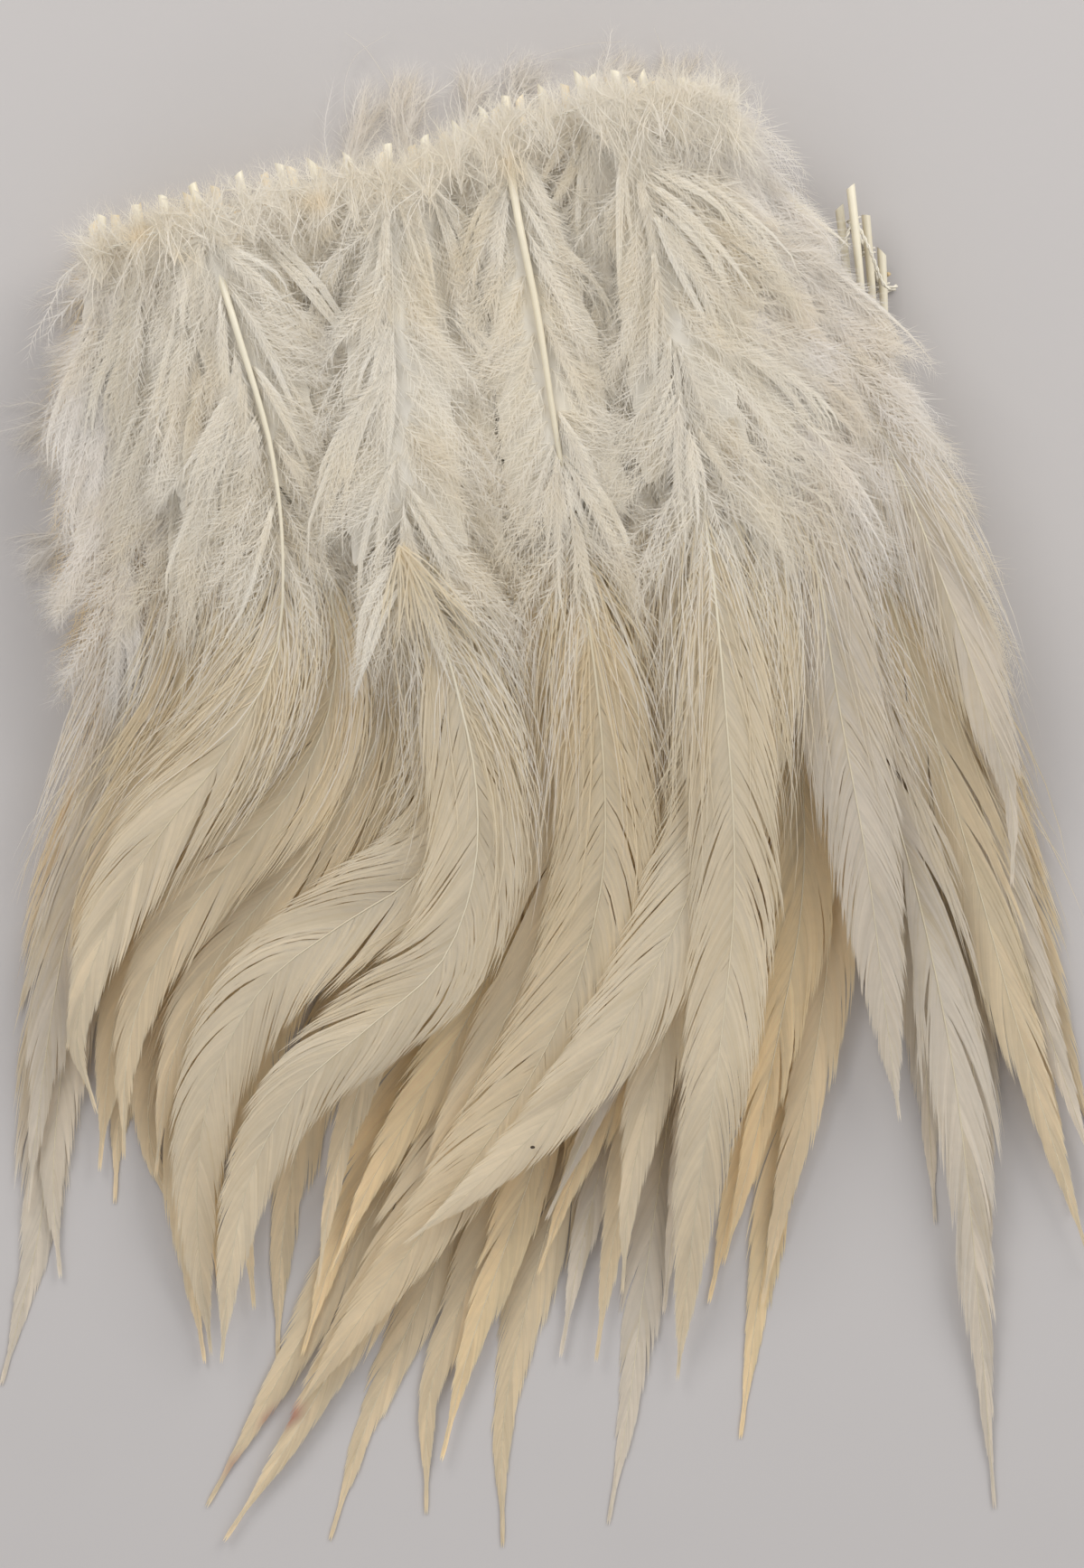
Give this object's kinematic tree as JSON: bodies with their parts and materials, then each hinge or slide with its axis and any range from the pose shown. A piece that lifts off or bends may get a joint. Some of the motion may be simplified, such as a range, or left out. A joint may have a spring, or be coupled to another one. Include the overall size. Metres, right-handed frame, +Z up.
{
  "type": "strung rooster saddle hackle",
  "caption": "Strung bunch of bleached rooster saddle hackle lying flat: bare cut quills on a sewn thread, fluffy cream down, and narrow glossy vanes that curve to fine points.",
  "frame": {"origin": "on the surface that the bunch lies on, under its middle, on the flat underside of a bottom feather", "axes": "+Y along the feathers, towards the cut quill ends; +X across the feathers, along the sewn string; +Z up, through the bunch's thickness"},
  "size_m": [0.1218, 0.1622, 0.0218],
  "materials": {
    "ivory": "bleached feather, white-cream down and a glossy ivory vane",
    "cream": "bleached feather with a glossy cream vane",
    "gold": "bleached feather with a golden tan vane",
    "pearl": "bleached feather with a pale grey vane",
    "thread": "undyed cotton sewing thread, stained with glue"
  },
  "bodies": {
    "root": {"feather_right_01": "pearl", "feather_right_02": "cream", "feather_right_03": "pearl", "feather_right_04": "cream", "feather_right_05": "pearl", "feather_right_06": "cream", "feather_under_01": "pearl", "feather_under_02": "cream", "feather_under_03": "pearl", "feather_under_04": "gold", "feather_under_05": "gold", "feather_under_06": "cream", "feather_under_07": "cream", "feather_under_08": "cream", "feather_under_09": "cream", "feather_under_10": "pearl", "feather_under_11": "pearl", "feather_under_12": "gold", "feather_under_13": "cream", "feather_under_14": "cream", "feather_under_15": "gold", "feather_under_16": "cream", "feather_under_17": "pearl", "feather_under_18": "cream", "feather_under_19": "gold", "feather_under_20": "cream", "feather_under_21": "cream", "feather_under_22": "cream", "feather_under_23": "cream", "feather_under_24": "cream", "feather_upper_01": "pearl", "feather_upper_02": "gold", "feather_upper_03": "gold", "feather_upper_04": "pearl", "feather_upper_05": "gold", "feather_upper_06": "cream", "feather_upper_07": "cream", "feather_upper_08": "cream", "feather_upper_09": "cream", "feather_upper_10": "pearl", "feather_upper_11": "pearl", "feather_upper_12": "cream", "feather_upper_13": "cream", "feather_upper_14": "cream", "feather_upper_15": "ivory", "feather_upper_16": "pearl", "feather_upper_17": "ivory", "feather_upper_18": "ivory", "feather_upper_19": "cream", "feather_upper_20": "pearl", "feather_upper_21": "ivory", "feather_upper_22": "ivory", "feather_upper_23": "ivory", "feather_upper_24": "ivory", "thread_right_fold": "thread", "thread_under_fold": "thread", "thread_upper_fold": "thread"}
  },
  "joints": []
}
